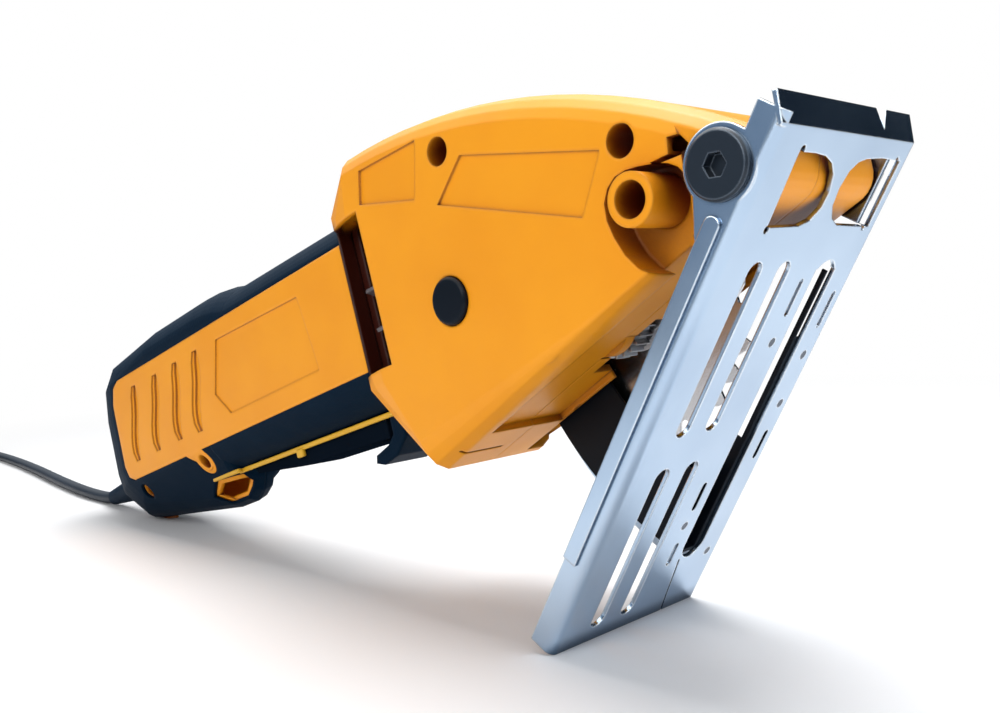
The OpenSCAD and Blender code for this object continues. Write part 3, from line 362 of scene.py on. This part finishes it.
# %% [markdown]
# ## The yellow-orange plastic
#
# The covers and the handle are moulded in glass-filled nylon: one strong yellow-orange all
# through, with a satin skin. Up close the skin has a very fine grain from the spark-eroded
# mould and slow, faint waves where it shrank. Edges are moulded with small radii, which the
# Bevel node gives for shading without more faces. Deep recesses are painted a dark orange, and
# the inside of the near cover's air slot darker still. That is paint standing in for shade, so
# it stays under any light, and it also takes in the narrow rim behind the slot.


# %%
SLOT_LOW, SLOT_HIGH = (-173.5, 8, -13), (-148, 48, 45)  # in the handle's frame, in millimetres
SLOT_FADE = (1.0, 4, 4)  # millimetres along each of its axes
SLOT_SHADE = (0.035, 0.004, 0.001, 1)
RECESS = 22 * MM  # how far a surface looks out for others that close it in
GRAIN_DEPTH = 0.03 * MM


def moulded_plastic(name, colour, deep, roughness, edge, shine=0.5, recess_shade=None):
    """A satin moulded plastic with grain, slow waves, soft edges, and optional painted shade."""
    finish = Finish(name, roughness=roughness, specular_ior_level=shine)
    waves, grain = finish.noise(28), finish.noise(2600)
    body = finish.blend(colour, deep, finish.between(waves, 0.3, 0.75))
    # Painted shade: deep recesses darken towards the recess colour, and the air slot darker still.
    if recess_shade:
        body = finish.blend(recess_shade, body, finish.between(finish.openness(RECESS), 0.1, 0.78))
        slot_shade_mask = finish.within(HANDLE, SLOT_LOW, SLOT_HIGH, SLOT_FADE)
        body = finish.blend(body, SLOT_SHADE, slot_shade_mask)
    finish.set("Base Color", body)
    finish.set("Roughness", roughness - 0.05 + 0.1 * finish.noise(60, 3.0))
    finish.relief(grain * 0.5 + waves * 6.0, GRAIN_DEPTH, finish.soft_edges(edge * MM, 6))
    return finish.material


YELLOW = moulded_plastic(
    "yellow nylon",
    (0.9, 0.345, 0.007, 1),
    (0.86, 0.315, 0.006, 1),
    roughness=0.42,
    edge=1.6,
    shine=0.3,
    recess_shade=(0.13, 0.011, 0.001, 1),
)
# Painted highlight: the seam's nylon made paler and yellower for the light its thin bead catches.
SEAM_HIGHLIGHT_YELLOW = moulded_plastic(
    "seam painted highlight", (0.74, 0.42, 0.025, 1), (0.7, 0.38, 0.02, 1), roughness=0.4, edge=0.8, shine=0.3
)
print("made", YELLOW.name, "and", SEAM_HIGHLIGHT_YELLOW.name)

# %% [markdown]
# ## The navy rubber
#
# The grip is a soft thermoplastic rubber moulded over the nylon. It is a very dark blue, dull,
# with a fine even texture that breaks up the light, and it shows faint paler scuffs.


# %%
BLUE_SHEEN = (0.2, 0.55, 1, 1)
RUBBER_DEPTH = 0.06 * MM


def moulded_rubber(name, colour, scuff, roughness, edge):
    """A dull moulded rubber with an even fine texture and pale scuffs."""
    finish = Finish(
        name, roughness=roughness, specular_ior_level=0.05, specular_tint=BLUE_SHEEN
    )
    texture = finish.node(
        "ShaderNodeTexVoronoi", {"feature": "F1"}, {"Vector": finish.place, "Scale": 1500.0}
    )
    marks = finish.between(finish.noise(45, 5.0), 0.55, 0.85)
    finish.set("Base Color", finish.blend(colour, scuff, marks))
    finish.set("Roughness", roughness + 0.12 * finish.noise(90, 3.0))
    bumps = texture + finish.noise(120, 3.0) * 1.5
    finish.relief(bumps, RUBBER_DEPTH, finish.soft_edges(edge * MM, 6))
    return finish.material


RUBBER = moulded_rubber(
    "navy rubber", (0.0018, 0.0095, 0.022, 1), (0.0035, 0.014, 0.03, 1), roughness=0.5, edge=1.8
)
print("made", RUBBER.name)

# %% [markdown]
# ## The black plastics
#
# The trigger is a smooth black plastic without a glint, the buttons the same with a soft one,
# the blade guard is plain and dull, and the flex and the plug are soft vinyl.

# %%
SMOOTH, SMOOTH_DEEP = (0.004, 0.0075, 0.014, 1), (0.003, 0.006, 0.011, 1)
TRIGGER_BLACK = moulded_plastic(
    "smooth black", SMOOTH, SMOOTH_DEEP, roughness=0.3, edge=1.2, shine=0.0
)
BUTTON_BLACK = moulded_plastic(
    "button black", SMOOTH, SMOOTH_DEEP, roughness=0.25, edge=1.2, shine=0.12
)
GUARD_BLACK = moulded_plastic(
    "guard black",
    (0.004, 0.006, 0.010, 1),
    (0.003, 0.0045, 0.008, 1),
    roughness=0.45,
    edge=0.6,
    shine=0.12,
)
VINYL = moulded_plastic(
    "vinyl",
    (0.005, 0.0095, 0.018, 1),
    (0.007, 0.013, 0.024, 1),
    roughness=0.42,
    edge=0.5,
    shine=0.2,
)
print("made", TRIGGER_BLACK.name, BUTTON_BLACK.name, GUARD_BLACK.name, VINYL.name)

# %% [markdown]
# ## The zinc-plated sheet
#
# The base is pressed from steel sheet and then bright zinc plated. The plating is bluish and
# mirror-like in places, and clouded by handling and by faint lines from rolling along the
# sheet. Punched edges get a bright rim painted into the colour as a highlight, and creases are
# painted darker as shade. Low roughness with a patchy variation says plating better than any
# colour does.


# %%
ZINC_CLOUDED, ZINC_CLEAR = (0.37, 0.48, 0.62, 1), (0.46, 0.58, 0.72, 1)
ZINC_EDGE_HIGHLIGHT, ZINC_CREASE_SHADE = (0.86, 0.92, 0.97, 1), (0.05, 0.09, 0.15, 1)
ROLLING = (0.05, 1.0, 0.05)  # stretches the noise into lines along the sheet
SHEET_EDGE, SHEET_CREASE, SHEET_WAVES = 0.7 * MM, 7 * MM, 0.04 * MM


def zinc_plating(name):
    """Bright clouded plating, rolled lines, painted edge highlights, painted crease shade."""
    finish = Finish(name, metallic=1.0)
    cloud = finish.between(finish.noise(16, 4.0), 0.35, 0.7)
    lines = finish.noise(900, stretch=ROLLING)
    softened = finish.soft_edges(SHEET_EDGE, 6)
    body = finish.blend(ZINC_CLOUDED, ZINC_CLEAR, cloud)
    # Painted light: a pale rim on the edges as highlight, and darker creases as shade.
    body = finish.blend(body, ZINC_EDGE_HIGHLIGHT, finish.edge_mask(softened, 0.08))
    is_open = finish.between(finish.openness(SHEET_CREASE), 0.3, 0.85)
    finish.set("Base Color", finish.blend(ZINC_CREASE_SHADE, body, is_open))
    finish.set("Roughness", 0.15 + 0.08 * cloud + 0.05 * lines)
    finish.relief(lines * 0.25 + finish.noise(24, 1.0) * 1.2, SHEET_WAVES, softened)
    return finish.material


ZINC = zinc_plating("zinc plating")
print("made", ZINC.name)

# %% [markdown]
# ## Machined steel, black oxide, copper and the inner plastics
#
# Turned and ground pieces have fine lines and a tighter shine. The pivot bolt is chemically
# blackened, which leaves a dark metal with a soft gloss. The windings are copper under
# varnish. The fan is a grey plastic, and the brushes are dull carbon.


# %%
TOOL_MARKS = (1.0, 0.08, 1.0)  # stretches the noise into lines
MARK_DEPTH = 0.02 * MM


def machined(name, colour, roughness, metallic=1.0, edge=0.4, highlight_colour=None):
    """A machined or blackened metal with fine tool marks and a highlight painted on its edges."""
    finish = Finish(name, metallic=metallic)
    marks = finish.noise(1800, stretch=TOOL_MARKS)
    softened = finish.soft_edges(edge * MM, 4)
    # Painted highlight: a lighter colour on the edges, either given or made from the body's.
    edge_highlight = highlight_colour or tuple(min(1.0, c * 1.25 + 0.01) for c in colour[:3]) + (1,)
    darker = tuple(c * 0.86 for c in colour[:3]) + (1,)
    base = finish.blend(colour, darker, finish.noise(140, 3.0))
    finish.set("Base Color", finish.blend(base, edge_highlight, finish.edge_mask(softened, 0.1)))
    finish.set("Roughness", roughness + 0.1 * marks)
    finish.relief(marks, MARK_DEPTH, softened)
    return finish.material


STEEL = machined("machined steel", (0.56, 0.57, 0.58, 1), 0.26)
OXIDE = machined(
    "black oxide",
    (0.008, 0.016, 0.028, 1),
    0.3,
    metallic=0.25,
    edge=0.7,
    highlight_colour=(0.09, 0.12, 0.16, 1),
)
BLADE_STEEL = machined("blade steel", (0.6, 0.6, 0.61, 1), 0.2)
CAST = machined("cast alloy", (0.5, 0.5, 0.51, 1), 0.45)
COPPER = machined("varnished copper", (0.72, 0.3, 0.13, 1), 0.3)
LAMINATED = machined("laminated iron", (0.33, 0.34, 0.36, 1), 0.4)
RIVET = machined("rivet steel", (0.09, 0.11, 0.14, 1), 0.3, highlight_colour=(0.6, 0.66, 0.72, 1))
FAN_GREY = moulded_plastic(
    "fan grey", (0.1, 0.085, 0.09, 1), (0.07, 0.06, 0.065, 1), roughness=0.4, edge=0.5
)
CARBON = moulded_plastic(
    "carbon", (0.02, 0.02, 0.02, 1), (0.03, 0.03, 0.03, 1), roughness=0.6, edge=0.3
)
print("made the metals")

# %% [markdown]
# ## Every CAD piece gets its finish
#
# One table says what each piece is made of, by its name in the CAD model.

# %%
FINISHES = {
    "base_plate": ZINC, "edge_strip": ZINC, "depth_bracket": ZINC, "blade_guard": GUARD_BLACK,
    "guard_rivets": RIVET, "pivot_bolt": OXIDE, "pivot_nut": STEEL, "near_cover": YELLOW,
    "far_cover": YELLOW, "bearing_plate": CAST, "cover_screws": STEEL, "plate_screws": STEEL,
    "nose_bush": STEEL, "plunge_spring": STEEL, "dust_tube": YELLOW, "handle_near": YELLOW,
    "handle_far": YELLOW, "grip_near": RUBBER, "grip_far": RUBBER, "handle_screws": STEEL,
    "finger_stop": RUBBER, "stator": LAMINATED, "field_coils": COPPER,
    "brush_holders": GUARD_BLACK, "carbon_brushes": CARBON, "brush_springs": STEEL,
    "motor_bearings": STEEL, "gear_bearings": STEEL, "idler_pin": STEEL, "switch": GUARD_BLACK,
    "trigger_pin": STEEL, "trigger_spring": STEEL, "lock_spring": STEEL, "cord_clamp": GUARD_BLACK,
    "strain_relief": RUBBER, "rotor_shaft": STEEL, "armature": LAMINATED, "windings": COPPER,
    "commutator": COPPER, "fan": FAN_GREY, "motor_pinion": STEEL, "countershaft": STEEL,
    "crown_gear": STEEL, "drive_pinion": STEEL, "idler_gear": STEEL, "arbor": STEEL,
    "arbor_gear": STEEL, "inner_flange": STEEL, "saw_blade": BLADE_STEEL, "outer_flange": STEEL,
    "blade_bolt": OXIDE, "trigger": TRIGGER_BLACK, "lock_button": BUTTON_BLACK,
    "depth_knob": BUTTON_BLACK, "power_cord": VINYL, "cord_coil": VINYL, "plug": VINYL,
}
for name, piece in nodes.items():
    for slot in piece.material_slots:
        slot.material = FINISHES[name]
flex.data.materials.append(VINYL)
print("finished", len(nodes), "pieces, unmatched", sorted(set(nodes) - set(FINISHES)))

# %% [markdown]
# ## The yellow seam along the grip
#
# Where the rubber skin ends along the trigger's opening, the nylon under it stands proud as a
# thin bright line that runs back to the hollow in the heel, with one small nub on it. Its
# colour is a paler, yellower copy of the nylon: a painted highlight for the light the thin bead
# catches. Each length of it is a box stretched along the handle, with its edges bevelled.


# %%
def finished_piece(name, shape, finish):
    """Turns a bmesh into a piece that rides on the saw's body."""
    data = bpy.data.meshes.new(name)
    bmesh.ops.recalc_face_normals(shape, faces=shape.faces)
    shape.to_mesh(data)
    shape.free()
    piece = bpy.data.objects.new(name, data)
    bpy.context.scene.collection.objects.link(piece)
    data.materials.append(finish)
    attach(piece, "saw_body")
    print(name, len(data.polygons), "faces")


def bar(shape, frame_of, low, high, round_off):
    """Adds a box between two corners of a frame, in millimetres, with rounded edges."""
    middle = [(a + b) / 2 for a, b in zip(low, high)]
    spread = [abs(b - a) * MM for a, b in zip(low, high)]
    place = frame_of @ moved(middle) @ Matrix.Diagonal((*spread, 1))
    made = bmesh.ops.create_cube(shape, size=1.0, matrix=place)["verts"]
    bmesh.ops.bevel(
        shape,
        geom=list({edge for vert in made for edge in vert.link_edges}),
        offset=round_off * MM,
        offset_type="OFFSET",
        affect="EDGES",
        segments=2,
        profile=0.5,
        material=-1,
    )


SEAM_IN, SEAM_OUT = 10.9, 12.1  # from the plane where the halves meet, in millimetres
for side_name, sign in (("near", -1), ("far", 1)):
    seam = bmesh.new()
    inner, outer = SPLIT + sign * SEAM_IN, SPLIT + sign * SEAM_OUT
    # Along the trigger's opening, then further out over the heel, and the nub under the first.
    bar(seam, HANDLE, (-304, inner, -27.4), (-176, outer, -25.2), 0.5)
    bar(seam, HANDLE, (-322, inner + sign * 2.3, -27.2), (-297, outer + sign * 3.1, -25.2), 0.5)
    bar(seam, HANDLE, (-250, inner, -30.2), (-245, outer + sign * 0.8, -26.5), 0.6)
    finished_piece(f"seam_{side_name}", seam, SEAM_HIGHLIGHT_YELLOW)

# %% [markdown]
# ## The parting line round the tail
#
# The two halves of the handle meet in a thin raised bead of nylon, which shows as a yellow line
# round the end of the tail. A few short bars, each turned along the outline, follow it.

# %%
# The outline of the tail, as distances behind the pivot and heights, in millimetres.
TAIL_LINE = [(436.6, -2), (435.3, -12), (430.5, -22.5), (412.5, -33.4), (396, -35.2)]
HALF_WIDTH, HALF_HEIGHT = 0.8, 0.7

bead = bmesh.new()
for (h0, k0), (h1, k1) in zip(TAIL_LINE, TAIL_LINE[1:]):
    reach = math.hypot(h1 - h0, k1 - k0) / 2
    lean = math.degrees(math.atan2(k1 - k0, h0 - h1))
    along = HANDLE @ moved((-(h0 + h1) / 2, SPLIT, (k0 + k1) / 2)) @ turned(-lean)
    bar(bead, along, (-reach, -HALF_WIDTH, -HALF_HEIGHT), (reach, HALF_WIDTH, HALF_HEIGHT), 0.3)
finished_piece("tail_bead", bead, YELLOW)

# %% [markdown]
# ## The floor and the light
#
# The saw stands on a pale sheet that fades to white behind it. The floor takes the saw's
# shadow near it and turns to plain white further off, so there is no horizon. A broad soft
# light in front models the forms, one from the right fills the plate, a strong one overhead
# lights the tops and casts the shadow, and the pale room does the rest.

# %%
FLOOR_HALF, WHITE_FROM, WHITE_AT = 6.0, 0.35, 0.9  # metres
WHITE = (1, 1, 1, 1)

floor_mesh = bmesh.new()
bmesh.ops.create_grid(floor_mesh, x_segments=1, y_segments=1, size=FLOOR_HALF)
floor_data = bpy.data.meshes.new("floor")
floor_mesh.to_mesh(floor_data)
floor_mesh.free()
floor = bpy.data.objects.new("floor", floor_data)
bpy.context.scene.collection.objects.link(floor)

sheet = Finish(
    "pale floor", base_color=(0.86, 0.865, 0.875, 1), roughness=0.6, specular_ior_level=0.3
)
away = sheet.node("ShaderNodeVectorMath", {"operation": "LENGTH"}, {0: sheet.place}, "Value")
white = sheet.node("ShaderNodeEmission", {}, {"Color": WHITE, "Strength": 1.0})
seen = sheet.node("ShaderNodeLightPath", output="Is Camera Ray")
faded = sheet.between(away, WHITE_FROM, WHITE_AT) * seen
surface = sheet.node(
    "ShaderNodeMixShader", {}, {0: faded, 1: Value(sheet, sheet.shader.outputs[0]), 2: white}
)
sheet.feed(sheet.tree.nodes["Material Output"].inputs["Surface"], surface)
floor_data.materials.append(sheet.material)
print("floor", floor.dimensions[:])


# %%
def soft_light(name, at, towards, size, watts):
    """Adds a square soft light at one point, facing another."""
    data = bpy.data.lights.new(name, "AREA")
    data.size, data.energy = size, watts
    lamp = bpy.data.objects.new(name, data)
    bpy.context.scene.collection.objects.link(lamp)
    lamp.location = at
    lamp.rotation_euler = (Vector(towards) - Vector(at)).to_track_quat("-Z", "Y").to_euler()


soft_light("window", (0.35, -0.9, 0.62), (0.1, 0.0, 0.1), 0.6, 4.6)
soft_light("right fill", (1.2, 0.25, 0.5), (0.05, 0.0, 0.08), 0.7, 2.2)
soft_light("overhead", (0.05, 0.3, 1.25), (0.05, 0.0, 0.0), 0.8, 18.0)
print("three lights placed")

# %% [markdown]
# ## The room
#
# Bright metal is mostly what it reflects. A studio puts dark flags and pale cards round it, and
# here the world does the same for glossy rays only: bluish at the sides, bright overhead, and
# one dark flag behind and to the right. Everything else sees an even grey room, and the camera
# sees plain white.

# %%
world = bpy.data.worlds.new("studio room")
bpy.context.scene.world = world
world.use_nodes = True
room = Drawing(world.node_tree)

SIDES, OVERHEAD, FLAG = (0.27, 0.34, 0.43, 1), (2.6, 2.6, 2.5, 1), (0.006, 0.014, 0.024, 1)
EVEN_GREY = (0.33, 0.33, 0.34, 1)
FLAG_TOWARDS = (0.4, 0.87, 0.28)

outward = room.node("ShaderNodeTexCoord", output="Generated")
height = room.node("ShaderNodeSeparateXYZ", {}, {0: outward}, "Z")
flag = room.between(room.dot(outward, FLAG_TOWARDS), 0.3, 0.75)
card = room.blend(SIDES, OVERHEAD, room.between(height, 0.2, 0.75))
reflected = room.blend(card, FLAG, flag)
glossy = room.node("ShaderNodeLightPath", output="Is Glossy Ray")
to_camera = room.node("ShaderNodeLightPath", output="Is Camera Ray")
shown = room.blend(room.blend(EVEN_GREY, reflected, glossy), WHITE, to_camera)
room.feed(room.tree.nodes["Background"].inputs["Color"], shown)
bpy.context.scene.view_settings.view_transform = "Standard"
print("room", len(room.tree.nodes), "nodes")
